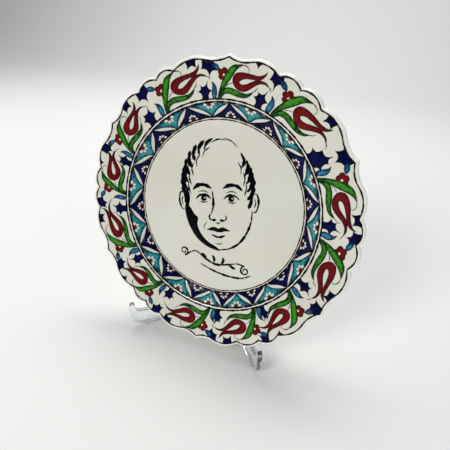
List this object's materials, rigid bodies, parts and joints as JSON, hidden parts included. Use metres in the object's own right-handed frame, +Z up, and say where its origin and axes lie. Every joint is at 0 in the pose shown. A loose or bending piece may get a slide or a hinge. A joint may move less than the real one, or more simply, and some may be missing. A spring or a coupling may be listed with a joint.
{
  "type": "display plate on a folding easel",
  "caption": "Wall and table display plate with a scalloped, painted rim and a raised foot ring, leaning on a clear two-leg easel that folds flat on a pinned hinge.",
  "frame": {"origin": "on the table, under the middle of the plate and easel together", "axes": "+Z up, +X to the right seen from the front, and the plate's painted face looks towards -Y and leans back towards +Y"},
  "size_m": [0.2996, 0.1014, 0.3018],
  "materials": {
    "white_glaze": "clear glossy glaze over an ivory-white body",
    "black_line": "black brush contours under a glossy glaze",
    "cobalt": "deep cobalt blue under a glossy glaze",
    "turquoise": "turquoise wash with brush shading under a glossy glaze",
    "bole_red": "dark red bole in slight relief under a glossy glaze",
    "leaf_green": "green wash with brush shading under a glossy glaze",
    "clear_plastic": "clear moulded styrene, glossy",
    "clear_pin": "clear plastic rod, glossy"
  },
  "bodies": {
    "left_leg": {"left_leg": "clear_plastic", "lower_hinge_pin": "clear_pin", "upper_hinge_pin": "clear_pin"},
    "right_leg": {"right_leg": "clear_plastic"},
    "plate": {"plate_body": "white_glaze"}
  },
  "joints": [
    {"name": "plate_lift", "type": "slide", "parent": "left_leg", "child": "plate", "axis": [0, -0.5, 0.866], "range_m": [0, 0.12]},
    {"name": "leg_fold", "type": "hinge", "parent": "left_leg", "child": "right_leg", "pos_m": [0, 0.04505, 0], "axis": [0, 0, -1], "range_deg": [0, 80]}
  ],
  "couplings": [
    {"joint": "leg_fold", "follows": "plate_lift", "rad_per_m": 11.6}
  ]
}
